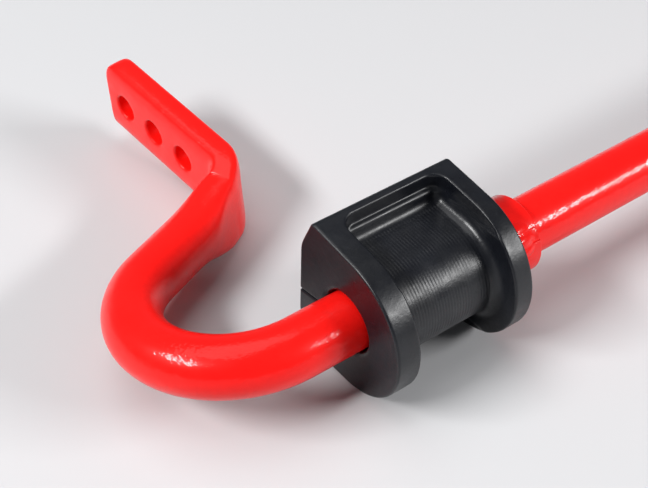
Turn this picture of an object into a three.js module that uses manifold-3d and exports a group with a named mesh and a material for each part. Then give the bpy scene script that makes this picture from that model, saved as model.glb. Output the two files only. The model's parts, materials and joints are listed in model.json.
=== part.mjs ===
// Rear sway bar (anti-roll bar) of a compact car, with its bushings and lateral locks.
// Units are millimetres, +Z is up, +X runs along the torsion section from left to right,
// and +Y points from the torsion section towards the end plates. The bar lies much as it rests
// on a bench: on the flat sides of its two bushings and on its two shoulders.
// The origin is the bottom centre of the assembly's bounding box.

import * as THREE from 'three';
import { mergeVertices } from 'three/addons/utils/BufferGeometryUtils.js';
import Module from 'manifold-3d';

// ---------------------------------------------------------------- driving dimensions

const BAR_RADIUS = 11;               // 22 mm solid spring steel
const BUSH_FACE_X = 400;             // outboard face of each bushing, from the middle

// Hook: the bar leaves the bushing, turns back on itself and ends in the arm.
const NECK_LENGTH = 19.3;            // straight bar between the bushing and the bend
const HOOK_RADIUS = 37.7;            // centreline bend radius
const HOOK_ANGLE = 154;              // degrees turned
const HOOK_DROP = 9.0;               // degrees that the hook's plane falls away from level
const ARM_LENGTH = 60.3;             // from the end of the bend to the shoulder's corner

// End plate: the bar's end hot-flattened into a paddle and bent at the shoulder.
const PLATE_WIDTH = 32.6;
const PLATE_THICKNESS = 11.8;
const PLATE_CORNER = 3.6;            // radius along the paddle's four long edges
const PLATE_LENGTH = 80.1;           // from the tip to the shoulder's corner
const PLATE_TIP = { inboard: 12.4, reach: 177.2, drop: 5.0 };  // tip, from the bushing face
const PLATE_TOE = 4.5;               // degrees that the tip leans outboard
const PLATE_RISE = 5.9;              // degrees that the tip rises
const PLATE_LEAN = 2.2;              // degrees that the top edge leans outboard
const PLATE_TIP_SLANT = 5.5;         // degrees that the tip's end is off square
const PLATE_TIP_CHAMFER = 0.9;
const SHOULDER_TANGENT = 9.7;        // where the shoulder's curve leaves each straight
const SHOULDER_HANDLE = 5.9;
const FLATTEN_START = 36;            // flattening starts this far before the corner
const FLATTEN_END = 5;               // the thickness is down to the plate's this far before it
const SPREAD_END = 6;                // and the width is complete this far after it
const SHOULDER_ROLL = 11;            // degrees that the section leans over in the shoulder
const ROLL_START = 42;               // the lean comes in between these distances before
const ROLL_FULL = 16;                // the corner
const ROLL_EASE = 6;                 // and goes out again from here before the corner
const ROLL_END = 7;                  // to here after it

const LINK_HOLE_RADIUS = 5.5;        // clearance for an M10 end link bolt
const LINK_HOLE_PITCH = 20;
const LINK_HOLE_FIRST = 13.4;        // first hole's centre, from the tip
const LINK_HOLE_COUNT = 3;

// Bushing: a flanged D-bush. In its section, u points out of the flat base and v up.
const BUSH_LENGTH = 59.4;
const BUSH_OUTER_FLANGE = 9.6;       // flange thickness on the outboard side
const BUSH_INNER_FLANGE = 7.9;
const BUSH_RADIUS = 28.8;
const BUSH_BASE = 26.5;              // bar axis to the flat base
const BUSH_BASE_HALF = 16.2;         // half width of the flat base
const BUSH_CORNER = { u: 20.8, v: 30.2 };  // where the base chamfer meets the side
const BUSH_BORE_RADIUS = 11.6;
const BUSH_TILT = 3.8;               // degrees that the base normal points above level
const CHANNEL_RADIUS = 19;           // floor of the strap channel
const CHANNEL_SIDE_ANGLE = 70;       // degrees from +u where the floor turns straight
const CHANNEL_END_U = 17.3;          // the channel stops here, short of the base
const SLIT_WIDTH = 0.8;
const SLIT_ANGLE = -12;              // degrees from +u

// Lateral lock: a rolled collar closed by a weld bead, just inboard of the bushing.
const LOCK_GAP = 0.5;                // running gap between the bushing and the collar
const LOCK_WIDTH = 17;
const LOCK_INNER_RADIUS = 11.35;
const LOCK_OUTER_RADIUS = 15;
const WELD_ANGLE = 147;              // middle of the bead, degrees from +Y towards +Z
const WELD_HALF_ANGLE = 21;
const WELD_CROWN = 1.3;              // how far the bead stands proud of the collar
const WELD_INSET = 0.8;              // the bead is this much shorter than the collar per side
const TOUCH_GAP = 0.3;

const BAR_SIDES = 24;
const BORE_SIDES = 32;
const ARC_STEPS = 24;
const HOOK_STEPS = 14;
const SHOULDER_STEPS = 10;

// ---------------------------------------------------------------- solid helpers

const manifold = await Module();
manifold.setup();

function toSolid(geometry) {
  const bare = geometry.clone();
  bare.deleteAttribute('normal');
  bare.deleteAttribute('uv');
  const merged = mergeVertices(bare, 1e-4);
  return new manifold.Manifold(new manifold.Mesh({
    numProp: 3,
    vertProperties: new Float32Array(merged.attributes.position.array),
    triVerts: new Uint32Array(merged.index.array),
  }));
}

function toGeometry(solid) {
  const mesh = solid.getMesh();
  const geometry = new THREE.BufferGeometry();
  geometry.setAttribute('position', new THREE.BufferAttribute(mesh.vertProperties, 3));
  geometry.setIndex(new THREE.BufferAttribute(mesh.triVerts, 1));
  geometry.computeVertexNormals();
  return geometry;
}

const radians = THREE.MathUtils.degToRad;

// Extrudes a section drawn in (u, v) = (+Y, +Z) along +X, from x0 to x1.
function extrudeAlongX(shape, x0, x1) {
  const geometry = new THREE.ExtrudeGeometry(shape, {
    depth: x1 - x0, bevelEnabled: false, curveSegments: ARC_STEPS,
  });
  const basis = new THREE.Matrix4().makeBasis(
    new THREE.Vector3(0, 1, 0), new THREE.Vector3(0, 0, 1), new THREE.Vector3(1, 0, 0));
  return geometry.applyMatrix4(basis).translate(x0, 0, 0);
}

function cylinderAlong(direction, centre, radius, length, sides) {
  const geometry = new THREE.CylinderGeometry(radius, radius, length, sides);
  const turn = new THREE.Quaternion().setFromUnitVectors(new THREE.Vector3(0, 1, 0), direction);
  return geometry.applyQuaternion(turn).translate(centre.x, centre.y, centre.z);
}

// ---------------------------------------------------------------- the bar's centreline

// The right-hand end, from the middle of the bar to the tip of the end plate, relative to
// the bar's axis. Each station has a point, the direction of travel there and the width
// direction of its section.
const hookNormal = new THREE.Vector3(0, Math.cos(radians(HOOK_DROP)), -Math.sin(radians(HOOK_DROP)));
const plateDirection = new THREE.Vector3(
  Math.sin(radians(PLATE_TOE)) * Math.cos(radians(PLATE_RISE)),
  Math.cos(radians(PLATE_TOE)) * Math.cos(radians(PLATE_RISE)),
  Math.sin(radians(PLATE_RISE)));
const plateTip = new THREE.Vector3(
  BUSH_FACE_X - PLATE_TIP.inboard, PLATE_TIP.reach, -PLATE_TIP.drop);
const plateUp = new THREE.Vector3(
  Math.sin(radians(PLATE_LEAN)), -Math.sin(radians(PLATE_RISE)), Math.cos(radians(PLATE_RISE)));

// Width direction of a section: as near to the plate's own width as it can be.
function widthDirection(direction) {
  return plateUp.clone().addScaledVector(direction, -plateUp.dot(direction)).normalize();
}

function rightHalfStations() {
  const stations = [];
  const add = (point, direction) => {
    stations.push({ point, direction, wide: widthDirection(direction) });
  };
  const outboard = new THREE.Vector3(1, 0, 0);
  const along = (start, direction, distance) => start.clone().addScaledVector(direction, distance);

  // Torsion section, from the middle of the bar.
  add(new THREE.Vector3(0, 0, 0), outboard);

  // Hook.
  const hookStart = new THREE.Vector3(BUSH_FACE_X + NECK_LENGTH, 0, 0);
  const hookCentre = along(hookStart, hookNormal, HOOK_RADIUS);
  for (let i = 0; i <= HOOK_STEPS; i += 1) {
    const angle = radians(HOOK_ANGLE) * i / HOOK_STEPS;
    const point = along(hookCentre, hookNormal, -HOOK_RADIUS * Math.cos(angle))
      .addScaledVector(outboard, HOOK_RADIUS * Math.sin(angle));
    const direction = outboard.clone().multiplyScalar(Math.cos(angle))
      .addScaledVector(hookNormal, Math.sin(angle));
    add(point, direction);
  }

  // Arm, with stations through the stretch where it starts to flatten.
  const armStart = stations[stations.length - 1].point;
  const armDirection = stations[stations.length - 1].direction;
  const flattenFrom = ARM_LENGTH - FLATTEN_START;
  const armEnd = ARM_LENGTH - SHOULDER_TANGENT;
  const armSteps = 4;
  for (let i = 0; i < armSteps; i += 1) {
    add(along(armStart, armDirection, flattenFrom + (armEnd - flattenFrom) * i / armSteps),
      armDirection);
  }

  // Shoulder, a smooth turn from the arm into the plate.
  const plateStart = along(plateTip, plateDirection, SHOULDER_TANGENT - PLATE_LENGTH);
  const shoulder = new THREE.CubicBezierCurve3(
    along(armStart, armDirection, armEnd),
    along(armStart, armDirection, armEnd + SHOULDER_HANDLE),
    along(plateStart, plateDirection, -SHOULDER_HANDLE),
    plateStart);
  for (let i = 0; i <= SHOULDER_STEPS; i += 1) {
    add(shoulder.getPoint(i / SHOULDER_STEPS), shoulder.getTangent(i / SHOULDER_STEPS));
  }

  // Plate, out to its tip.
  add(along(plateTip, plateDirection, -PLATE_TIP_CHAMFER), plateDirection);
  add(plateTip.clone(), plateDirection);
  return stations;
}

// Gives each station its section: round in the bar, a rounded rectangle in the plate, and
// a smooth blend between the two through the shoulder.
function withSections(stations) {
  let travelled = 0;
  const distance = stations.map((station, i) => {
    if (i > 0) travelled += station.point.distanceTo(stations[i - 1].point);
    return travelled;
  });
  const cornerAt = distance[distance.length - 1] - PLATE_LENGTH + SHOULDER_TANGENT / 4;
  const { lerp, smoothstep, clamp } = THREE.MathUtils;
  stations.forEach((station, i) => {
    const past = distance[i] - cornerAt;
    const even = clamp((past + FLATTEN_START) / (FLATTEN_START - FLATTEN_END), 0, 1);
    const flat = lerp(even, smoothstep(even, 0, 1), 0.35);
    const spread = smoothstep(past, -FLATTEN_START, SPREAD_END);
    station.halfWidth = lerp(BAR_RADIUS, PLATE_WIDTH / 2, spread);
    station.halfThickness = lerp(BAR_RADIUS, PLATE_THICKNESS / 2, flat);
    station.corner = Math.min(lerp(BAR_RADIUS, PLATE_CORNER, spread), station.halfThickness);
    const roll = radians(SHOULDER_ROLL) * smoothstep(past, -ROLL_START, -ROLL_FULL)
      * (1 - smoothstep(past, -ROLL_EASE, ROLL_END));
    const across = new THREE.Vector3().crossVectors(station.direction, station.wide);
    station.wide = station.wide.clone().multiplyScalar(Math.cos(roll))
      .addScaledVector(across, Math.sin(roll));
  });
  const slant = Math.tan(radians(PLATE_TIP_SLANT));
  stations.slice(-2).forEach((station) => {
    station.wide = station.wide.clone().addScaledVector(station.direction, slant);
  });
  const tip = stations[stations.length - 1];
  tip.halfWidth -= PLATE_TIP_CHAMFER;
  tip.halfThickness -= PLATE_TIP_CHAMFER;
  return stations;
}

function mirrored(station) {
  const { point, direction, wide } = station;
  return {
    ...station,
    point: new THREE.Vector3(-point.x, point.y, point.z),
    direction: new THREE.Vector3(direction.x, -direction.y, -direction.z),
    wide: new THREE.Vector3(-wide.x, wide.y, wide.z),
  };
}

// ---------------------------------------------------------------- the bar

function sectionRing(station) {
  const { point, direction, wide, halfWidth, halfThickness, corner } = station;
  const thick = new THREE.Vector3().crossVectors(direction, wide);
  const ring = [];
  for (let i = 0; i < BAR_SIDES; i += 1) {
    const angle = 2 * Math.PI * (i + 0.5) / BAR_SIDES;
    const w = Math.sign(Math.cos(angle)) * (halfWidth - corner) + corner * Math.cos(angle);
    const t = Math.sign(Math.sin(angle)) * (halfThickness - corner) + corner * Math.sin(angle);
    ring.push(point.clone().addScaledVector(wide, w).addScaledVector(thick, t));
  }
  return ring;
}

// Closed skin over a row of section rings, with a fan at each end.
function loft(rings) {
  const positions = [];
  const indices = [];
  const sides = rings[0].length;
  rings.forEach((ring) => ring.forEach((p) => positions.push(p.x, p.y, p.z)));
  for (let r = 0; r < rings.length - 1; r += 1) {
    for (let i = 0; i < sides; i += 1) {
      const a = r * sides + i;
      const b = r * sides + (i + 1) % sides;
      indices.push(a, b, b + sides, a, b + sides, a + sides);
    }
  }
  const addCap = (ring, offset, flip) => {
    const middle = ring.reduce((sum, p) => sum.add(p), new THREE.Vector3()).divideScalar(sides);
    const hub = positions.length / 3;
    positions.push(middle.x, middle.y, middle.z);
    for (let i = 0; i < sides; i += 1) {
      const a = offset + i;
      const b = offset + (i + 1) % sides;
      indices.push(hub, flip ? b : a, flip ? a : b);
    }
  };
  addCap(rings[0], 0, true);
  addCap(rings[rings.length - 1], (rings.length - 1) * sides, false);
  const geometry = new THREE.BufferGeometry();
  geometry.setAttribute('position', new THREE.Float32BufferAttribute(positions, 3));
  geometry.setIndex(indices);
  return geometry;
}

// One bolt hole through an end plate; side is 1 for the right plate and -1 for the left.
function linkHole(side, index) {
  const back = LINK_HOLE_FIRST + LINK_HOLE_PITCH * index;
  const centre = plateTip.clone().addScaledVector(plateDirection, -back);
  const through = new THREE.Vector3().crossVectors(plateDirection, widthDirection(plateDirection));
  centre.x *= side;
  through.x *= side;
  return cylinderAlong(through, centre, LINK_HOLE_RADIUS, PLATE_THICKNESS * 2, BAR_SIDES);
}

function barGeometry() {
  const right = withSections(rightHalfStations());
  const left = right.slice(1).reverse().map(mirrored);
  let bar = toSolid(loft([...left, ...right].map(sectionRing)));
  for (const side of [-1, 1]) {
    for (let i = 0; i < LINK_HOLE_COUNT; i += 1) {
      bar = bar.subtract(toSolid(linkHole(side, i)));
    }
  }
  return toGeometry(bar);
}

// ---------------------------------------------------------------- the bushings

// Outline of the flanges: a flat base, two chamfers, and straight sides that run tangent
// into the round nose.
function flangeShape() {
  const cornerDistance = Math.hypot(BUSH_CORNER.u, BUSH_CORNER.v);
  const tangentAngle = Math.atan2(BUSH_CORNER.v, BUSH_CORNER.u)
    + Math.acos(BUSH_RADIUS / cornerDistance);
  const shape = new THREE.Shape();
  shape.moveTo(BUSH_BASE, -BUSH_BASE_HALF);
  shape.lineTo(BUSH_BASE, BUSH_BASE_HALF);
  shape.lineTo(BUSH_CORNER.u, BUSH_CORNER.v);
  shape.absarc(0, 0, BUSH_RADIUS, tangentAngle, 2 * Math.PI - tangentAngle, false);
  shape.lineTo(BUSH_CORNER.u, -BUSH_CORNER.v);
  shape.closePath();
  return shape;
}

// What the strap channel removes: everything outside its floor, up to the channel's end
// near the base.
function channelShape() {
  const beyond = 2 * BUSH_RADIUS;
  const side = radians(CHANNEL_SIDE_ANGLE);
  const endV = (CHANNEL_RADIUS - CHANNEL_END_U * Math.cos(side)) / Math.sin(side);
  const shape = new THREE.Shape();
  shape.moveTo(CHANNEL_END_U, endV);
  shape.lineTo(CHANNEL_END_U, beyond);
  shape.lineTo(-beyond, beyond);
  shape.lineTo(-beyond, -beyond);
  shape.lineTo(CHANNEL_END_U, -beyond);
  shape.lineTo(CHANNEL_END_U, -endV);
  shape.absarc(0, 0, CHANNEL_RADIUS, -side, side - 2 * Math.PI, true);
  shape.closePath();
  return shape;
}

// A bushing about the bar's axis, with its outboard face at x = 0 and its body towards +X.
function bushingGeometry() {
  const axisX = new THREE.Vector3(1, 0, 0);
  const middle = new THREE.Vector3(BUSH_LENGTH / 2, 0, 0);
  const slit = new THREE.BoxGeometry(BUSH_LENGTH * 2, BUSH_RADIUS * 2, SLIT_WIDTH)
    .translate(BUSH_LENGTH / 2, BUSH_RADIUS, 0)
    .rotateX(radians(SLIT_ANGLE));
  const body = toSolid(extrudeAlongX(flangeShape(), 0, BUSH_LENGTH))
    .subtract(toSolid(extrudeAlongX(
      channelShape(), BUSH_OUTER_FLANGE, BUSH_LENGTH - BUSH_INNER_FLANGE)))
    .subtract(toSolid(cylinderAlong(
      axisX, middle, BUSH_BORE_RADIUS, BUSH_LENGTH * 2, BORE_SIDES)))
    .subtract(toSolid(slit));
  return toGeometry(body).rotateX(radians(BUSH_TILT));
}

// ---------------------------------------------------------------- the lateral locks

const weldStart = radians(WELD_ANGLE - WELD_HALF_ANGLE);
const weldEnd = radians(WELD_ANGLE + WELD_HALF_ANGLE);

// The collar, rolled from flat bar, with its two ends either side of the weld.
function lockRingGeometry() {
  const shape = new THREE.Shape();
  shape.absarc(0, 0, LOCK_OUTER_RADIUS, weldEnd, weldStart + 2 * Math.PI, false);
  shape.absarc(0, 0, LOCK_INNER_RADIUS, weldStart + 2 * Math.PI, weldEnd, true);
  shape.closePath();
  return extrudeAlongX(shape, 0, LOCK_WIDTH);
}

// The bead that closes the collar: a crowned lump between the collar's two ends.
function lockWeldGeometry() {
  const clearance = TOUCH_GAP / LOCK_INNER_RADIUS;
  const steps = 10;
  const shape = new THREE.Shape();
  for (let i = 0; i <= steps; i += 1) {
    const angle = THREE.MathUtils.lerp(weldStart + clearance, weldEnd - clearance, i / steps);
    const radius = LOCK_OUTER_RADIUS - TOUCH_GAP + WELD_CROWN * Math.sin(Math.PI * i / steps);
    const point = new THREE.Vector2(radius * Math.cos(angle), radius * Math.sin(angle));
    if (i === 0) shape.moveTo(point.x, point.y);
    else shape.lineTo(point.x, point.y);
  }
  shape.absarc(0, 0, LOCK_INNER_RADIUS, weldEnd - clearance, weldStart + clearance, true);
  shape.closePath();
  return extrudeAlongX(shape, WELD_INSET, LOCK_WIDTH - WELD_INSET);
}

// ---------------------------------------------------------------- assembly

const redPaint = () => new THREE.MeshStandardMaterial({
  color: 0xd8141a, roughness: 0.22, metalness: 0.0,
});
const blackUrethane = () => new THREE.MeshStandardMaterial({
  color: 0x1b1c1f, roughness: 0.55, metalness: 0.0,
});

// Mirrors a geometry left to right, keeping its faces pointing out.
function mirroredX(geometry) {
  const copy = geometry.clone().applyMatrix4(new THREE.Matrix4().makeScale(-1, 1, 1));
  const indexed = copy.index ? copy : mergeVertices(copy);
  const index = indexed.index.array;
  for (let i = 0; i < index.length; i += 3) {
    [index[i + 1], index[i + 2]] = [index[i + 2], index[i + 1]];
  }
  indexed.computeVertexNormals();
  return indexed;
}

const swayBar = new THREE.Group();

function addPart(name, geometry, material, x = 0) {
  const mesh = new THREE.Mesh(geometry, material);
  mesh.name = name;
  mesh.position.x = x;
  swayBar.add(mesh);
}

addPart('sway_bar', barGeometry(), redPaint());

const bushing = bushingGeometry();
const ring = lockRingGeometry();
const weld = lockWeldGeometry();
const lockX = BUSH_FACE_X - BUSH_LENGTH - LOCK_GAP;

addPart('left_bushing', bushing, blackUrethane(), -BUSH_FACE_X);
addPart('left_lock_ring', ring, redPaint(), -lockX);
addPart('left_lock_weld', weld, redPaint(), -lockX);
addPart('right_bushing', mirroredX(bushing), blackUrethane(), BUSH_FACE_X);
addPart('right_lock_ring', mirroredX(ring), redPaint(), lockX);
addPart('right_lock_weld', mirroredX(weld), redPaint(), lockX);

// Stand the assembly on the ground plane with the origin under its middle.
const box = new THREE.Box3().setFromObject(swayBar);
swayBar.position.set(
  -(box.min.x + box.max.x) / 2, -(box.min.y + box.max.y) / 2, -box.min.z);

export default swayBar;
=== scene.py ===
"""Looks for the sway bar: gloss red paint, moulded black bushings and welded locks.

Lengths are in millimetres in the row frame's directions, measured from the point of the
bar's axis in the middle of the bar, until to_row() turns them into metres of the row frame.
"""

import json
import math

import bmesh
import bpy
import numpy as np
import openvdb
from mathutils import Matrix, Vector


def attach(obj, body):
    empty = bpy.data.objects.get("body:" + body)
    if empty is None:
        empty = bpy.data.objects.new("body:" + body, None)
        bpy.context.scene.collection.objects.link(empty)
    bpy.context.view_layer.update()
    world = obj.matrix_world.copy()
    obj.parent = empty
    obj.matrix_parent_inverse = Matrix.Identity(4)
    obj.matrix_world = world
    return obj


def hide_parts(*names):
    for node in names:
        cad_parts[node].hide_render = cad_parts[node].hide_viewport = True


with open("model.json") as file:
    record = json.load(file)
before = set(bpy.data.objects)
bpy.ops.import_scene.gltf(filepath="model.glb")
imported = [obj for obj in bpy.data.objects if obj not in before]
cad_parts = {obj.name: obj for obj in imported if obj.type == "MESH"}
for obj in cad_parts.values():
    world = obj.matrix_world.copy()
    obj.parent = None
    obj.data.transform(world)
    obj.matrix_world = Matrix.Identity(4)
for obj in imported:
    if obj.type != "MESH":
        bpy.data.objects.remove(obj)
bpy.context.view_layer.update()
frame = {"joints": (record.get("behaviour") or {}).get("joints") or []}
MM = 0.001

JOINTS = {joint["name"]: joint for joint in frame["joints"]}
PIVOT = JOINTS["right_bushing_turn"]["pos_m"]
AXIS_Y, AXIS_Z = PIVOT[1], PIVOT[2]

# ------------------------------------------------------------------ dimensions, as in the CAD

BAR_RADIUS = 11.0
BUSH_FACE_X = 400.0
NECK_LENGTH = 19.3
HOOK_RADIUS = 37.7
HOOK_ANGLE = math.radians(154)
HOOK_DROP = math.radians(9.0)
ARM_LENGTH = 60.3

PLATE_WIDTH = 32.6
PLATE_THICKNESS = 11.8
PLATE_LENGTH = 80.1
PLATE_TIP = (12.4, 177.2, 5.0)       # inboard, reach and drop from the bushing face
PLATE_TOE = math.radians(4.5)
PLATE_RISE = math.radians(5.9)
PLATE_LEAN = math.radians(2.2)
PLATE_TIP_SLANT = math.radians(5.5)
SHOULDER_TANGENT = 9.7
SHOULDER_HANDLE = 5.9
FLATTEN_START = 36.0     # the flats begin this far before the shoulder's corner
FLATTEN_END = 5.0        # and are at the plate's thickness this far before it
SPREAD_END = 6.0         # the width is complete this far after it
SHOULDER_ROLL = math.radians(11)
SHOULDER_SAG = 16.6      # how far the section reaches down there
SAG_ON, SAG_OFF = (-44, -14), (-8, 14)      # runs past the corner where the sag comes and goes
ROLL_ON, ROLL_OFF = (-42, -16), (-18, 7)    # and where the roll does
FLAT_EASE = 0.35         # how much the flattening eases in and out
ROUND_CLEARANCE = 0.6    # the flats stand this far clear of the round bar
FLAT_EDGE_START = 0.3    # rounding where a flat meets the section's edge, at its start
FLAT_EDGE_END = 1.7      # and at the plate
FLAT_EDGE_LEAD = 6       # that rounding starts this far before the flats
BENCH_ROUNDING = 1.2     # mm over which the bar's underside eases on to the bench
BENCH_CLEARANCE = 0.02

HOLE_RADIUS = 5.5
HOLE_PITCH = 20.0
HOLE_FIRST = 13.4
HOLE_COUNT = 3
HOLE_RIM = 1.1           # rounding of a hole's rim

BUSH_LENGTH = 59.4
BUSH_OUTER_FLANGE = 9.6
BUSH_INNER_FLANGE = 7.9
BUSH_RADIUS = 28.8
BUSH_BASE = 26.5
BUSH_BASE_HALF = 16.2
BUSH_CORNER = (20.8, 30.2)
BUSH_BORE_RADIUS = 11.6
BUSH_TILT = math.radians(3.8)
CHANNEL_RADIUS = 19.0
CHANNEL_END_U = 17.3     # the channel's end, with a step in it nearer the floor
CHANNEL_STEP_U = 15.0
CHANNEL_STEP_V = 24.3
SLIT_WIDTH = 0.8
SLIT_ANGLE = math.radians(-12)
CORNER_ROUND = 1.6       # roundings of the bushing's edges
BASE_ROUND = 1.2
END_ROUND = 0.8
STEP_WALL_ROUND = 3.6
FLOOR_ROUND = 4.0
SHELF_WALL_ROUND = 5.5
SHELF_ROUND = 0.9
STEP_ROUND = 2.0
CHANNEL_RIM_ROUND = 0.8
BORE_ROUND = 2.0
SLIT_ROUND = 0.6

LOCK_GAP = 0.5
LOCK_WIDTH = 17.0
LOCK_INNER_RADIUS = 11.35
LOCK_OUTER_RADIUS = 15.0
WELD_ANGLE = math.radians(147)
COLLAR_ROUND = 0.7
COLLAR_OPENING = 0.16    # half the gap between the collar's ends, in radians
COLLAR_RINGS = 120
COLLAR_ARC_STEPS = 4
WELD_BLEND = 0.9         # height over which two puddles run together
WELD_FROM, WELD_TO = 112, 178               # degrees round the bar
WELD_SINK = 0.5          # how far the bead's edge lies inside the collar
WELD_MARGIN = 0.3        # the bead stops this far inside the collar's ends and its bore
WELD_ROWS, WELD_COLUMNS = 90, 60
WELD_FADE = 1.2          # a puddle stops falling at this many times its own half size


# ------------------------------------------------------------------ small helpers

def unit(v):
    return v / np.linalg.norm(v)


def lerp(a, b, t):
    return a + (b - a) * t


def smoothstep(x, low, high):
    t = np.clip((x - low) / (high - low), 0, 1)
    return t * t * (3 - 2 * t)


def to_row(points, side=1):
    """Points in metres in the row frame; side -1 mirrors them to the left-hand end."""
    points = np.asarray(points, float) * MM
    return points * [side, 1, 1] + [0, AXIS_Y, AXIS_Z]


def add_piece(name, points, faces, body, nodes, material, side=1, weld=0.0):
    """A smooth-shaded mesh piece that rides on a body and stands for CAD nodes."""
    mesh = bpy.data.meshes.new(name)
    if side < 0:
        faces = [tuple(reversed(face)) for face in faces]
    mesh.from_pydata(to_row(points, side).tolist(), [], [tuple(map(int, f)) for f in faces])
    if weld:
        bm = bmesh.new()
        bm.from_mesh(mesh)
        bmesh.ops.remove_doubles(bm, verts=bm.verts, dist=weld * MM)
        loose = [vert for vert in bm.verts if not vert.link_faces]
        bmesh.ops.delete(bm, geom=loose, context="VERTS")
        bmesh.ops.recalc_face_normals(bm, faces=bm.faces)
        bm.to_mesh(mesh)
        bm.free()
    mesh.polygons.foreach_set("use_smooth", [True] * len(mesh.polygons))
    mesh.update()
    piece = bpy.data.objects.new(name, mesh)
    bpy.context.scene.collection.objects.link(piece)
    mesh.materials.append(material)
    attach(piece, body)
    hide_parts(*nodes)
    return piece


# ------------------------------------------------------------------ materials

class Graph:
    """Shorthand for building a material's node tree."""

    def __init__(self, name):
        self.material = bpy.data.materials.new(name)
        self.material.use_nodes = True
        self.tree = self.material.node_tree
        self.shader = self.tree.nodes["Principled BSDF"]

    def node(self, kind, **settings):
        made = self.tree.nodes.new(kind)
        for key, value in settings.items():
            setattr(made, key, value)
        return made

    def link(self, source, target):
        self.tree.links.new(source, target)

    def place(self):
        return self.node("ShaderNodeTexCoord").outputs["Object"]

    def noise(self, place, scale, detail=2.0, roughness=0.5):
        made = self.node("ShaderNodeTexNoise")
        made.inputs["Scale"].default_value = scale
        made.inputs["Detail"].default_value = detail
        made.inputs["Roughness"].default_value = roughness
        made.inputs["Distortion"].default_value = 0.0
        self.link(place, made.inputs["Vector"])
        return made.outputs["Fac"]

    def ramp(self, value, low, high, out_low, out_high):
        made = self.node("ShaderNodeMapRange")
        for key, number in (("From Min", low), ("From Max", high),
                            ("To Min", out_low), ("To Max", out_high)):
            made.inputs[key].default_value = number
        self.link(value, made.inputs["Value"])
        return made.outputs["Result"]

    def mix(self, amount, first, second):
        made = self.node("ShaderNodeMix", data_type="RGBA")
        self.link(amount, made.inputs["Factor"])
        for socket, colour in ((made.inputs[6], first), (made.inputs[7], second)):
            if isinstance(colour, tuple):
                socket.default_value = (*colour, 1)
            else:
                self.link(colour, socket)
        return made.outputs[2]

    def math(self, operation, first, second):
        made = self.node("ShaderNodeMath", operation=operation)
        for socket, value in ((made.inputs[0], first), (made.inputs[1], second)):
            if isinstance(value, (int, float)):
                socket.default_value = value
            else:
                self.link(value, socket)
        return made.outputs[0]

    def bump(self, height, distance, strength, normal=None):
        made = self.node("ShaderNodeBump")
        made.inputs["Strength"].default_value = strength
        made.inputs["Distance"].default_value = distance
        self.link(height, made.inputs["Height"])
        if normal is not None:
            self.link(normal, made.inputs["Normal"])
        return made.outputs["Normal"]

    def set(self, **values):
        for key, value in values.items():
            self.shader.inputs[key.replace("_", " ")].default_value = value


def red_paint():
    """Gloss powder coat: a bright red with slight orange peel and faint settling."""
    g = Graph("red_powder_coat")
    place = g.place()
    broad = g.noise(place, 28.0, 3.0)
    fine = g.noise(place, 420.0, 2.0)
    base = g.mix(g.ramp(broad, 0.3, 0.7, 0.0, 1.0),
                 (0.84, 0.0065, 0.0050), (0.90, 0.0085, 0.0060))
    g.link(g.mix(g.ramp(fine, 0.45, 0.80, 0.0, 0.35), base, (0.74, 0.0045, 0.0040)),
           g.shader.inputs["Base Color"])
    g.link(g.ramp(g.noise(place, 160.0, 3.0), 0.3, 0.7, 0.30, 0.40), g.shader.inputs["Roughness"])
    peel = g.noise(place, 760.0, 1.0, 0.4)
    swell = g.noise(place, 110.0, 1.0)
    normal = g.bump(swell, 0.0003, 0.30)
    g.link(normal, g.shader.inputs["Normal"])
    g.link(g.bump(peel, 0.00026, 0.6, normal), g.shader.inputs["Coat Normal"])
    g.set(Coat_Weight=0.5, Coat_Roughness=0.08, Coat_IOR=1.4, IOR=1.4, Specular_IOR_Level=0.12)
    return g.material


MOULD_LINE_PITCH = 0.00125


def black_urethane():
    """Moulded polyurethane: near-black, satin, with a fine texture and turned-mould lines."""
    g = Graph("black_moulded_urethane")
    place = g.place()
    broad = g.noise(place, 45.0, 4.0, 0.6)
    fine = g.noise(place, 900.0, 3.0, 0.6)
    base = g.mix(g.ramp(broad, 0.35, 0.7, 0.0, 1.0),
                 (0.0034, 0.0039, 0.0060), (0.0068, 0.0078, 0.0112))
    g.link(g.mix(g.ramp(fine, 0.60, 0.85, 0.0, 0.5), base, (0.017, 0.019, 0.025)),
           g.shader.inputs["Base Color"])
    g.link(g.ramp(g.noise(place, 130.0, 4.0, 0.65), 0.3, 0.7, 0.27, 0.43),
           g.shader.inputs["Roughness"])
    split = g.node("ShaderNodeSeparateXYZ")
    g.link(place, split.inputs[0])
    phase = g.math("MULTIPLY", split.outputs[0], 2 * math.pi / MOULD_LINE_PITCH)
    wave = g.math("SINE", phase, 0.0)
    floor = g.node("ShaderNodeAttribute", attribute_name="channel_floor")
    worn = g.ramp(g.noise(place, 150.0, 3.0, 0.6), 0.35, 0.65, 0.15, 1.0)
    lines = g.math("MULTIPLY", g.math("MULTIPLY", wave, floor.outputs["Fac"]), worn)
    normal = g.bump(lines, 0.00004, 0.6)
    normal = g.bump(g.noise(place, 60.0, 3.0), 0.0006, 0.25, normal)
    g.link(g.bump(fine, 0.00008, 0.6, normal), g.shader.inputs["Normal"])
    g.set(IOR=1.45)
    return g.material


PAINT = red_paint()
URETHANE = black_urethane()


# ------------------------------------------------------------------ the bar

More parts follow.
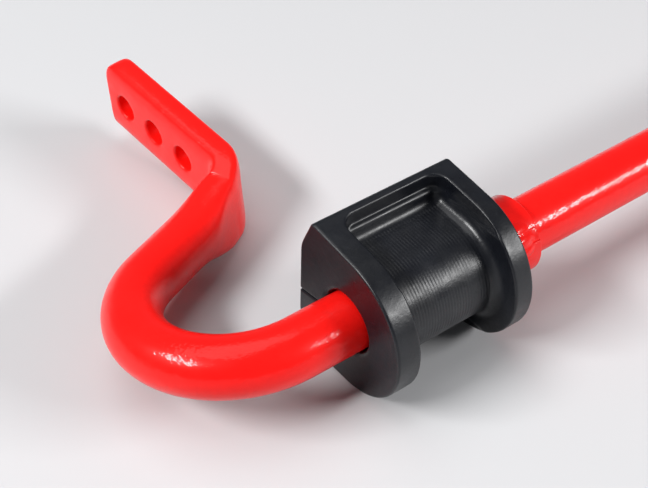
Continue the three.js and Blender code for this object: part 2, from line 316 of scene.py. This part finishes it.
HOOK_NORMAL = np.array([0, math.cos(HOOK_DROP), -math.sin(HOOK_DROP)])
OUTBOARD = np.array([1.0, 0, 0])
PLATE_DIRECTION = np.array([
    math.sin(PLATE_TOE) * math.cos(PLATE_RISE),
    math.cos(PLATE_TOE) * math.cos(PLATE_RISE),
    math.sin(PLATE_RISE)])
TIP = np.array([BUSH_FACE_X - PLATE_TIP[0], PLATE_TIP[1], -PLATE_TIP[2]])
PLATE_UP = np.array([math.sin(PLATE_LEAN), -math.sin(PLATE_RISE), math.cos(PLATE_RISE)])

EDGE_POWER = 3.5         # how square the plate's edges are: 2 would make them oval
EDGE_RISE = 7.9          # half thickness that the plate's rounded edges would meet at
EDGE_SPREAD = 1.2
FACE_HALF = 10.6         # half width of the flat part of the plate's faces
FACE_CELLS = 16          # across a flat face
EDGE_CELLS = 4           # across a plate edge
CORNER_CELLS = 8
RING = 2 * (FACE_CELLS + EDGE_CELLS) + 4 * CORNER_CELLS
HOLE_CELL_HALF = 8.0     # half the length of plate that is meshed around each hole
HOLE_CELLS = 8
TIP_TOP_RADIUS = 6.5
TIP_LOW_RADIUS = 1.8
TIP_EDGE_RADIUS = 2.4
TIP_RINGS = 12
TORSION_RINGS, HOOK_RINGS, ARM_RINGS, SHOULDER_RINGS, NEAR_PLATE_RINGS = 40, 64, 26, 36, 6
SECTION_LIMIT = 40.0     # no section reaches this far
SECTION_HALVINGS = 40
RIM_STEPS = 7
RIM_APPROACH = 0.55      # place of the loop between a hole cell's border and its rim
WALL_LOOP = 0.4          # height of the loop in a hole's wall, as a share of the wall
SPACING_SHARE = 0.5      # how far a circle's points are moved to an even spacing


def width_direction(direction):
    return unit(PLATE_UP - direction * (PLATE_UP @ direction))


def bezier(t, a, b, c, d):
    point = (1 - t) ** 3 * a + 3 * (1 - t) ** 2 * t * b + 3 * (1 - t) * t * t * c + t ** 3 * d
    slope = (1 - t) ** 2 * (b - a) + 2 * (1 - t) * t * (c - b) + t * t * (d - c)
    return point, unit(slope)


def plate_stops():
    """Distances back from the tip of the plate's rings, far to near, with the hole cells."""
    stops = []
    for index in reversed(range(HOLE_COUNT)):
        centre = HOLE_FIRST + HOLE_PITCH * index
        for step in range(HOLE_CELLS + 1):
            stops.append(centre + HOLE_CELL_HALF - 2 * HOLE_CELL_HALF * step / HOLE_CELLS)
    return stops


def stations():
    """The right-hand half of the bar: points, directions and tip distances of its rings."""
    made = []

    def add(point, direction, back=None):
        made.append((point, direction, back))

    for x in np.linspace(0, BUSH_FACE_X + NECK_LENGTH, TORSION_RINGS)[:-1]:
        add(OUTBOARD * x, OUTBOARD)
    start = OUTBOARD * (BUSH_FACE_X + NECK_LENGTH)
    centre = start + HOOK_NORMAL * HOOK_RADIUS
    for angle in np.linspace(0, HOOK_ANGLE, HOOK_RINGS):
        c, s = math.cos(angle), math.sin(angle)
        add(centre - HOOK_NORMAL * HOOK_RADIUS * c + OUTBOARD * HOOK_RADIUS * s,
            OUTBOARD * c + HOOK_NORMAL * s)
    arm_start, arm = made[-1][0], made[-1][1]
    arm_end = ARM_LENGTH - SHOULDER_TANGENT
    for distance in np.linspace(0, arm_end, ARM_RINGS)[1:-1]:
        add(arm_start + arm * distance, arm)
    plate_start = TIP - PLATE_DIRECTION * (PLATE_LENGTH - SHOULDER_TANGENT)
    curve = (arm_start + arm * arm_end,
             arm_start + arm * (arm_end + SHOULDER_HANDLE),
             plate_start - PLATE_DIRECTION * SHOULDER_HANDLE,
             plate_start)
    for t in np.linspace(0, 1, SHOULDER_RINGS):
        add(*bezier(t, *curve))
    cells = plate_stops()
    near = np.linspace(PLATE_LENGTH - SHOULDER_TANGENT, cells[0], NEAR_PLATE_RINGS)[1:-1]
    for back in list(near) + cells:
        add(TIP - PLATE_DIRECTION * back, PLATE_DIRECTION, back)
    return made


def ring_angles():
    """Directions of a ring's points in the section, spread for the round and the flat shape."""
    even = np.arange(RING) * 2 * math.pi / RING
    quarter = []
    for k in range(EDGE_CELLS // 2):
        quarter.append(math.atan2(EDGE_SPREAD * k, PLATE_WIDTH / 2))
    edge = math.atan2(EDGE_SPREAD * EDGE_CELLS / 2, PLATE_WIDTH / 2)
    face = math.atan2(PLATE_THICKNESS / 2, FACE_HALF)
    for k in range(CORNER_CELLS):
        quarter.append(lerp(edge, face, k / CORNER_CELLS))
    for k in range(FACE_CELLS // 2):
        quarter.append(math.atan2(PLATE_THICKNESS / 2, FACE_HALF * (1 - 2 * k / FACE_CELLS)))
    upper = quarter + [math.pi / 2] + [math.pi - a for a in reversed(quarter[1:])]
    lower = [a + math.pi for a in upper]
    return even, np.array(upper + lower)


def section_distance(w, t, power, up, down, rise, half_thickness, edge):
    """Distance-like measure of a point from a section: an oval clipped by two flats."""
    width = np.where(w > 0, up, down)
    reach = (np.abs(w / width) ** power + np.abs(t / rise) ** power) ** (1 / power)
    oval = (reach - 1) * rise
    return round_max(oval, np.abs(t) - half_thickness, edge)


def section(even, spread, share, sizes):
    """A ring outline as (wide, thick), found along each of the ring's directions."""
    angles = lerp(even, spread, share)
    c, s = np.cos(angles), np.sin(angles)
    low, high = np.zeros(RING), np.full(RING, SECTION_LIMIT)
    for _ in range(SECTION_HALVINGS):
        middle = (low + high) / 2
        outside = section_distance(middle * c, middle * s, *sizes) > 0
        low, high = np.where(outside, low, middle), np.where(outside, middle, high)
    return np.stack([low * c, low * s], 1)


def section_sizes(distance, corner_at):
    """How the forged end changes along the bar: sizes of the section at a distance."""
    past = distance - corner_at
    flat = np.clip((past + FLATTEN_START) / (FLATTEN_START - FLATTEN_END), 0, 1)
    flat = lerp(flat, smoothstep(flat, 0, 1), FLAT_EASE)
    spread = smoothstep(past, -FLATTEN_START, SPREAD_END)
    sag = smoothstep(past, *SAG_ON) * (1 - smoothstep(past, *SAG_OFF))
    power = lerp(2.0, EDGE_POWER, spread)
    up = lerp(BAR_RADIUS, PLATE_WIDTH / 2, spread)
    down = np.maximum(up, lerp(up, SHOULDER_SAG, sag))
    rise = lerp(BAR_RADIUS, EDGE_RISE, spread)
    half_thickness = lerp(BAR_RADIUS + ROUND_CLEARANCE, PLATE_THICKNESS / 2, flat)
    edge = lerp(FLAT_EDGE_START, FLAT_EDGE_END,
                smoothstep(past, -FLATTEN_START - FLAT_EDGE_LEAD, -FLATTEN_END))
    roll = SHOULDER_ROLL * smoothstep(past, *ROLL_ON) * (1 - smoothstep(past, *ROLL_OFF))
    return spread, roll, (power, up, down, rise, half_thickness, edge)


def tip_inset(radius, back):
    """How far a rounding of a given radius cuts in, at a distance back from the tip."""
    reach = max(radius - back, 0)
    return radius - math.sqrt(radius ** 2 - reach ** 2)


def tip_rounded(outline, back):
    """A plate outline with the roundings of the tip's end taken off it."""
    w, t = outline[:, 0], outline[:, 1]
    half_w, half_t = PLATE_WIDTH / 2, PLATE_THICKNESS / 2
    inset = np.where(w > 0, tip_inset(TIP_TOP_RADIUS, back), tip_inset(TIP_LOW_RADIUS, back))
    return np.stack([w * (1 - inset / half_w),
                     t * (1 - tip_inset(TIP_EDGE_RADIUS, back) / half_t)], 1)


def bar_half():
    """Points and faces of the right-hand half of the bar, open at the middle of the bar."""
    even, spread_angles = ring_angles()
    route = stations()
    travelled = np.concatenate([[0], np.cumsum([
        np.linalg.norm(b[0] - a[0]) for a, b in zip(route, route[1:])])])
    total = travelled[-1] + route[-1][2]
    corner_at = total - PLATE_LENGTH + SHOULDER_TANGENT / 4
    points, faces = [], []

    def add_ring(point, direction, outline, slant=0.0, roll=0.0):
        level = width_direction(direction)
        across = np.cross(direction, level)
        wide = level * math.cos(roll) + across * math.sin(roll)
        thick = across * math.cos(roll) - level * math.sin(roll)
        ring = point + outline[:, :1] * (wide + direction * slant) + outline[:, 1:] * thick
        points.extend(ring)

    for (point, direction, back), distance in zip(route, travelled):
        share, roll, sizes = section_sizes(distance, corner_at)
        flat = section(even, spread_angles, share, sizes)
        outline = flat if back is None else tip_rounded(flat, back)
        add_ring(point, direction, outline, roll=roll)

    # The rounded end.
    slant = math.tan(PLATE_TIP_SLANT)
    end_back = route[-1][2]
    for angle in np.linspace(0, math.pi / 2, TIP_RINGS)[1:]:
        back = end_back * (1 - math.sin(angle))
        outline = tip_rounded(flat, back)
        add_ring(TIP - PLATE_DIRECTION * back, PLATE_DIRECTION, outline,
                 slant * (1 - back / end_back))
    rings = len(points) // RING

    # Which strips of the two flat faces the hole cells fill.
    first_cell = len(route) - HOLE_COUNT * (HOLE_CELLS + 1)
    hole_rows = set()
    for index in range(HOLE_COUNT):
        start = first_cell + index * (HOLE_CELLS + 1)
        hole_rows.update(range(start, start + HOLE_CELLS))
    face_start = EDGE_CELLS // 2 + CORNER_CELLS
    face_columns = set(range(face_start, face_start + FACE_CELLS))
    face_columns |= {k + RING // 2 for k in face_columns}
    for row in range(rings - 1):
        for k in range(RING):
            if row in hole_rows and k in face_columns:
                continue
            a, b = row * RING + k, row * RING + (k + 1) % RING
            faces.append((a, b, b + RING, a + RING))
    faces.append(tuple(range((rings - 1) * RING, rings * RING)))

    # The cells around the holes.
    wide = width_direction(PLATE_DIRECTION)
    thick = np.cross(PLATE_DIRECTION, wide)
    half_t = PLATE_THICKNESS / 2
    for index in range(HOLE_COUNT):
        start = first_cell + (HOLE_COUNT - 1 - index) * (HOLE_CELLS + 1)
        centre = TIP - PLATE_DIRECTION * (HOLE_FIRST + HOLE_PITCH * index)
        border = []
        columns = [face_start + k for k in range(FACE_CELLS + 1)]
        border += [(start, k) for k in columns]
        border += [(start + r, columns[-1]) for r in range(1, HOLE_CELLS + 1)]
        border += [(start + HOLE_CELLS, k) for k in reversed(columns[:-1])]
        border += [(start + r, columns[0]) for r in range(HOLE_CELLS - 1, 0, -1)]
        top = np.array([points[r * RING + k] for r, k in border])
        along = (top - centre) @ PLATE_DIRECTION
        across = (top - centre) @ wide
        spin = np.arctan2(along, across)
        # Even the spacing of the circle's points a little, so that its rim stays round.
        count = len(border)
        steady = spin[0] + np.unwrap(np.linspace(0, 2 * math.pi, count, endpoint=False)) * (
            1 if np.unwrap(spin)[-1] > spin[0] else -1)
        spin = lerp(np.unwrap(spin), steady, SPACING_SHARE)
        circle_points = np.stack([np.sin(spin), np.cos(spin)], 1)

        def loop(radius, height):
            return (centre + circle_points[:, :1] * PLATE_DIRECTION * radius
                    + circle_points[:, 1:] * wide * radius + thick * height)

        flat_radius = HOLE_RADIUS + HOLE_RIM
        rim_loop = loop(flat_radius, half_t)
        loops = [top, lerp(top, rim_loop, RIM_APPROACH), rim_loop]
        for angle in np.linspace(0, math.pi / 2, RIM_STEPS)[1:]:
            loops.append(loop(HOLE_RADIUS + HOLE_RIM * (1 - math.sin(angle)),
                              half_t - HOLE_RIM * (1 - math.cos(angle))))
        wall = half_t - HOLE_RIM
        loops.append(loop(HOLE_RADIUS, wall * WALL_LOOP))
        mirrored_loops = []
        for ring in reversed(loops):
            offset = (ring - centre) @ thick
            mirrored_loops.append(ring - 2 * offset[:, None] * thick)
        everything = loops + mirrored_loops
        base = len(points)
        for ring in everything:
            points.extend(ring)
        for level in range(len(everything) - 1):
            for k in range(count):
                a = base + level * count + k
                b = base + level * count + (k + 1) % count
                faces.append((a, b, b + count, a + count))
    points = np.array(points)
    bench = -PIVOT[2] / MM + BENCH_CLEARANCE         # nothing reaches below the bench
    near = np.maximum(BENCH_ROUNDING - np.abs(points[:, 2] - bench), 0) / BENCH_ROUNDING
    points[:, 2] = np.maximum(points[:, 2], bench) + near ** 2 * BENCH_ROUNDING / 4
    return points, faces


def build_bar():
    points, faces = bar_half()
    count = len(points)
    both = np.concatenate([points, points * [-1, 1, 1]])
    faces = faces + [tuple(count + k for k in reversed(face)) for face in faces]
    return add_piece("painted_bar", both, faces, "bar", ["sway_bar"], PAINT,
                     weld=0.02)


# ------------------------------------------------------------------ the bushings

BUSH_VOXEL = 0.42
BUSH_MARGIN = 2.0
PROBE = 0.02             # step for the slope of the distance
SETTLE_ROUNDS = 3        # moves of the mesh on to the surface
SLOPE_FLOOR = 0.3
SETTLE_LIMIT = 0.3
FLOOR_TOLERANCE = 0.4    # how near the channel's floor a point must be to carry its lines


def round_max(a, b, radius):
    """The greater of two distances, with the edge where they meet rounded."""
    return (np.minimum(np.maximum(a, b), -radius)
            + np.hypot(np.maximum(a + radius, 0), np.maximum(b + radius, 0)))


def bushing_distance(x, u, v):
    """Signed distance to the bushing, from its outboard face along x; u out of its base."""
    corner_u, corner_v = BUSH_CORNER
    tangent = math.atan2(corner_v, corner_u) + math.acos(
        BUSH_RADIUS / math.hypot(corner_u, corner_v))
    height = np.abs(v)
    radius = np.hypot(u, v)
    angle = np.arctan2(height, u)
    side = u * math.cos(tangent) + height * math.sin(tangent) - BUSH_RADIUS
    outline = np.where(angle > tangent, radius - BUSH_RADIUS, side)
    run = np.array([BUSH_BASE - corner_u, BUSH_BASE_HALF - corner_v])
    normal = unit(np.array([-run[1], run[0]]))
    chamfer = (u - corner_u) * normal[0] + (height - corner_v) * normal[1]
    outline = round_max(outline, chamfer, CORNER_ROUND)
    outline = round_max(outline, u - BUSH_BASE, BASE_ROUND)
    ends = np.abs(x - BUSH_LENGTH / 2) - BUSH_LENGTH / 2
    body = round_max(outline, ends, END_ROUND)

    # The strap channel, with its own fillets.
    floor = np.where(u < 0, radius, height) - CHANNEL_RADIUS
    low, high = BUSH_OUTER_FLANGE, BUSH_LENGTH - BUSH_INNER_FLANGE
    middle, half = (low + high) / 2, (high - low) / 2
    walls = np.abs(x - middle) - half
    deep = round_max(walls, u - CHANNEL_STEP_U, STEP_WALL_ROUND)
    deep = round_max(deep, -floor, FLOOR_ROUND)
    wide = round_max(walls, u - CHANNEL_END_U, SHELF_WALL_ROUND)
    wide = round_max(wide, CHANNEL_STEP_V - height, SHELF_ROUND)
    channel = -round_max(-deep, -wide, STEP_ROUND)
    body = round_max(body, -channel, CHANNEL_RIM_ROUND)

    # The bore and the slit.
    body = round_max(body, BUSH_BORE_RADIUS - radius, BORE_ROUND)
    across = -u * math.sin(SLIT_ANGLE) + v * math.cos(SLIT_ANGLE)
    outward = u * math.cos(SLIT_ANGLE) + v * math.sin(SLIT_ANGLE)
    slit = np.maximum(np.abs(across) - SLIT_WIDTH / 2, -outward)
    return round_max(body, -slit, SLIT_ROUND)


def bushing_surface():
    """Points and faces of a bushing, about the bar's axis, in (x, u, v)."""
    low = np.array([-BUSH_MARGIN, -BUSH_RADIUS - BUSH_MARGIN, -BUSH_CORNER[1] - BUSH_MARGIN])
    high = np.array([BUSH_LENGTH + BUSH_MARGIN, BUSH_BASE + BUSH_MARGIN,
                     BUSH_CORNER[1] + BUSH_MARGIN])
    counts = np.ceil((high - low) / BUSH_VOXEL).astype(int)
    grids = [low[i] + BUSH_VOXEL * np.arange(counts[i]) for i in range(3)]
    x, u, v = np.meshgrid(*grids, indexing="ij", sparse=True)
    distance = bushing_distance(x, u, v).astype(np.float32)
    grid = openvdb.FloatGrid(BUSH_MARGIN * 4)
    grid.copyFromArray(np.ascontiguousarray(distance))
    points, quads = grid.convertToQuads(isovalue=0.0)
    points = low + points.astype(float) * BUSH_VOXEL
    quads = quads[:, ::-1]
    for _ in range(SETTLE_ROUNDS):
        here = bushing_distance(*points.T)
        slope = np.stack([
            bushing_distance(*(points + PROBE * np.eye(3)[i]).T)
            - bushing_distance(*(points - PROBE * np.eye(3)[i]).T)
            for i in range(3)], 1) / (2 * PROBE)
        length = np.maximum(np.linalg.norm(slope, axis=1, keepdims=True), SLOPE_FLOOR)
        move = here[:, None] * slope / length ** 2
        points = points - np.clip(move, -SETTLE_LIMIT, SETTLE_LIMIT)
    return points, quads


def build_bushings():
    surface, quads = bushing_surface()
    x, u, v = surface.T
    c, s = math.cos(BUSH_TILT), math.sin(BUSH_TILT)
    points = np.stack([BUSH_FACE_X - x, u * c - v * s, u * s + v * c], 1)
    reach = np.where(u < 0, np.hypot(u, v), np.abs(v))
    floor = ((np.abs(reach - CHANNEL_RADIUS) < FLOOR_TOLERANCE) & (u < CHANNEL_STEP_U)
             & (x > BUSH_OUTER_FLANGE) & (x < BUSH_LENGTH - BUSH_INNER_FLANGE))
    for side, name in ((-1, "left"), (1, "right")):
        piece = add_piece(f"{name}_moulded_bushing", points, quads, f"{name}_bushing_body",
                          [f"{name}_bushing"], URETHANE, side)
        attribute = piece.data.attributes.new("channel_floor", "FLOAT", "POINT")
        attribute.data.foreach_set("value", floor.astype(np.float32))


# ------------------------------------------------------------------ the lateral locks

def lock_point(x, radius, angle):
    """A point of a right-hand lock; x runs inboard from the collar's outboard end."""
    outer = BUSH_FACE_X - BUSH_LENGTH - LOCK_GAP
    return np.array([outer - x, radius * math.cos(angle), radius * math.sin(angle)])


def collar():
    """The rolled collar, with rounded rims and two ends that meet under the bead."""
    r = COLLAR_ROUND
    profile = []
    corners = ((LOCK_WIDTH - r, LOCK_OUTER_RADIUS - r, 0), (r, LOCK_OUTER_RADIUS - r, 90),
               (r, LOCK_INNER_RADIUS + r, 180), (LOCK_WIDTH - r, LOCK_INNER_RADIUS + r, 270))
    for cx, cr, start in corners:
        for k in range(COLLAR_ARC_STEPS + 1):
            a = math.radians(start + 90 * k / COLLAR_ARC_STEPS)
            profile.append((cx + r * math.cos(a), cr + r * math.sin(a)))
    first, last = WELD_ANGLE + COLLAR_OPENING, WELD_ANGLE - COLLAR_OPENING + 2 * math.pi
    angles = np.linspace(first, last, COLLAR_RINGS)
    points = [lock_point(x, radius, a) for a in angles for x, radius in profile]
    count = len(profile)
    faces = []
    for row in range(len(angles) - 1):
        for k in range(count):
            a, b = row * count + k, row * count + (k + 1) % count
            faces.append((a, b, b + count, a + count))
    faces.append(tuple(reversed(range(count))))
    faces.append(tuple(range((len(angles) - 1) * count, len(angles) * count)))
    return np.array(points), faces


def weld_bead():
    """The bead: overlapping puddles of weld laid down round the joint in the collar."""
    puddles = (  # degrees round the bar, width middle, half angle, half width, height
        (131, 7.8, 15.0, 6.6, 1.2),
        (147, 7.3, 15.0, 7.0, 1.8),
        (162, 7.8, 13.0, 6.6, 1.6),
    )
    angles = np.radians(np.linspace(WELD_FROM, WELD_TO, WELD_ROWS))
    widths = np.linspace(WELD_MARGIN, LOCK_WIDTH - WELD_MARGIN, WELD_COLUMNS)
    a, x = np.meshgrid(angles, widths, indexing="ij")
    height = np.full(a.shape, -WELD_SINK)
    for centre, middle, half_angle, half_width, crown in puddles:
        reach = np.hypot((np.degrees(a) - centre) / half_angle, (x - middle) / half_width)
        hump = (crown + WELD_SINK) * (1 - np.minimum(reach, WELD_FADE) ** 2) - WELD_SINK
        step = np.maximum(WELD_BLEND - np.abs(height - hump), 0) / WELD_BLEND
        height = np.maximum(height, hump) + step ** 2 * WELD_BLEND / 4
    radius = LOCK_OUTER_RADIUS + height
    rows, columns = a.shape
    cells = [(i, j) for i in range(rows) for j in range(columns)]
    top = [lock_point(x[i, j], radius[i, j], a[i, j]) for i, j in cells]
    low = LOCK_INNER_RADIUS + WELD_MARGIN
    under = [lock_point(x[i, j], low, a[i, j]) for i, j in cells]
    faces = []
    base = rows * columns
    for i in range(rows - 1):
        for j in range(columns - 1):
            p = i * columns + j
            quad = (p, p + 1, p + 1 + columns, p + columns)
            faces.append(quad)
            faces.append(tuple(base + k for k in reversed(quad)))
    rim = (list(range(columns))
           + [i * columns + columns - 1 for i in range(1, rows)]
           + [(rows - 1) * columns + j for j in range(columns - 2, -1, -1)]
           + [i * columns for i in range(rows - 2, 0, -1)])
    for p, q in zip(rim, rim[1:] + rim[:1]):
        faces.append((q, p, base + p, base + q))
    return np.array(top + under), faces


def build_locks():
    collar_points, collar_faces = collar()
    bead_points, bead_faces = weld_bead()
    for side, name in ((-1, "left"), (1, "right")):
        add_piece(f"{name}_collar", collar_points, collar_faces, "bar",
                  [f"{name}_lock_ring"], PAINT, side, weld=0.001)
        add_piece(f"{name}_weld_bead", bead_points, bead_faces, "bar",
                  [f"{name}_lock_weld"], PAINT, side, weld=0.001)


build_bar()
build_bushings()
build_locks()


# ------------------------------------------------------------------ camera

CAMERA_OFFSET = np.array([-587.79, -249.21, 309.50])   # from the bar's axis at its middle
CAMERA_AZIMUTH = math.radians(35.76)
CAMERA_PITCH = math.radians(41.29)
CAMERA_ROLL = math.radians(1.15)
CAMERA_LENS = 71.92


def add_camera():
    data = bpy.data.cameras.new("camera")
    data.sensor_fit = "HORIZONTAL"
    data.sensor_width = 36.0
    data.lens = CAMERA_LENS
    data.clip_start, data.clip_end = 0.01, 20.0
    camera = bpy.data.objects.new("camera", data)
    bpy.context.scene.collection.objects.link(camera)
    sin_a, cos_a = math.sin(CAMERA_AZIMUTH), math.cos(CAMERA_AZIMUTH)
    sin_p, cos_p = math.sin(CAMERA_PITCH), math.cos(CAMERA_PITCH)
    forward = Vector((sin_a * cos_p, cos_a * cos_p, -sin_p))
    level = Vector((cos_a, -sin_a, 0))
    down = -level.cross(forward)
    right = level * math.cos(CAMERA_ROLL) + down * math.sin(CAMERA_ROLL)
    up = right.cross(forward)
    rotation = Matrix((right, up, -forward)).transposed()
    camera.matrix_world = Matrix.Translation(Vector(to_row(CAMERA_OFFSET))) @ rotation.to_4x4()
    bpy.context.scene.camera = camera


# ------------------------------------------------------------------ floor and light

STAGE_CENTRE = (-0.38, -0.03, 0.03)
FLOOR_SIZE = 6.0
FLOOR_DROP = 0.0002      # keeps the floor clear of faces that rest on it


def add_floor():
    bpy.ops.mesh.primitive_plane_add(size=FLOOR_SIZE, location=(0, 0, -FLOOR_DROP))
    floor = bpy.context.object
    floor.name = "floor"
    g = Graph("pale_floor")
    g.set(Roughness=0.6)
    g.shader.inputs["Base Color"].default_value = (0.56, 0.56, 0.57, 1)
    floor.data.materials.append(g.material)


def add_softbox(name, azimuth, elevation, distance, size, watts):
    """A softbox that faces the bar's visible end from a compass direction, in degrees."""
    data = bpy.data.lights.new(name, "AREA")
    data.shape = "RECTANGLE"
    data.size, data.size_y = size
    data.energy = watts
    light = bpy.data.objects.new(name, data)
    bpy.context.scene.collection.objects.link(light)
    a, e = math.radians(azimuth), math.radians(elevation)
    towards = Vector((math.sin(a) * math.cos(e), math.cos(a) * math.cos(e), math.sin(e)))
    light.location = Vector(STAGE_CENTRE) + towards * distance
    light.rotation_euler = towards.to_track_quat("Z", "Y").to_euler()


def add_world():
    world = bpy.data.worlds.new("studio")
    bpy.context.scene.world = world
    world.use_nodes = True
    background = world.node_tree.nodes["Background"]
    background.inputs["Color"].default_value = (0.80, 0.82, 0.86, 1)
    background.inputs["Strength"].default_value = 0.20


add_camera()
add_floor()
add_world()
add_softbox("left_strip", -78, 43, 2.4, (1.3, 0.36), 62)
add_softbox("right_strip", 139, 27, 2.4, (1.1, 0.24), 44)
add_softbox("overhead", -20, 75, 2.6, (2.2, 1.8), 24)

bpy.context.scene.view_settings.view_transform = "Standard"

bpy.context.view_layer.update()
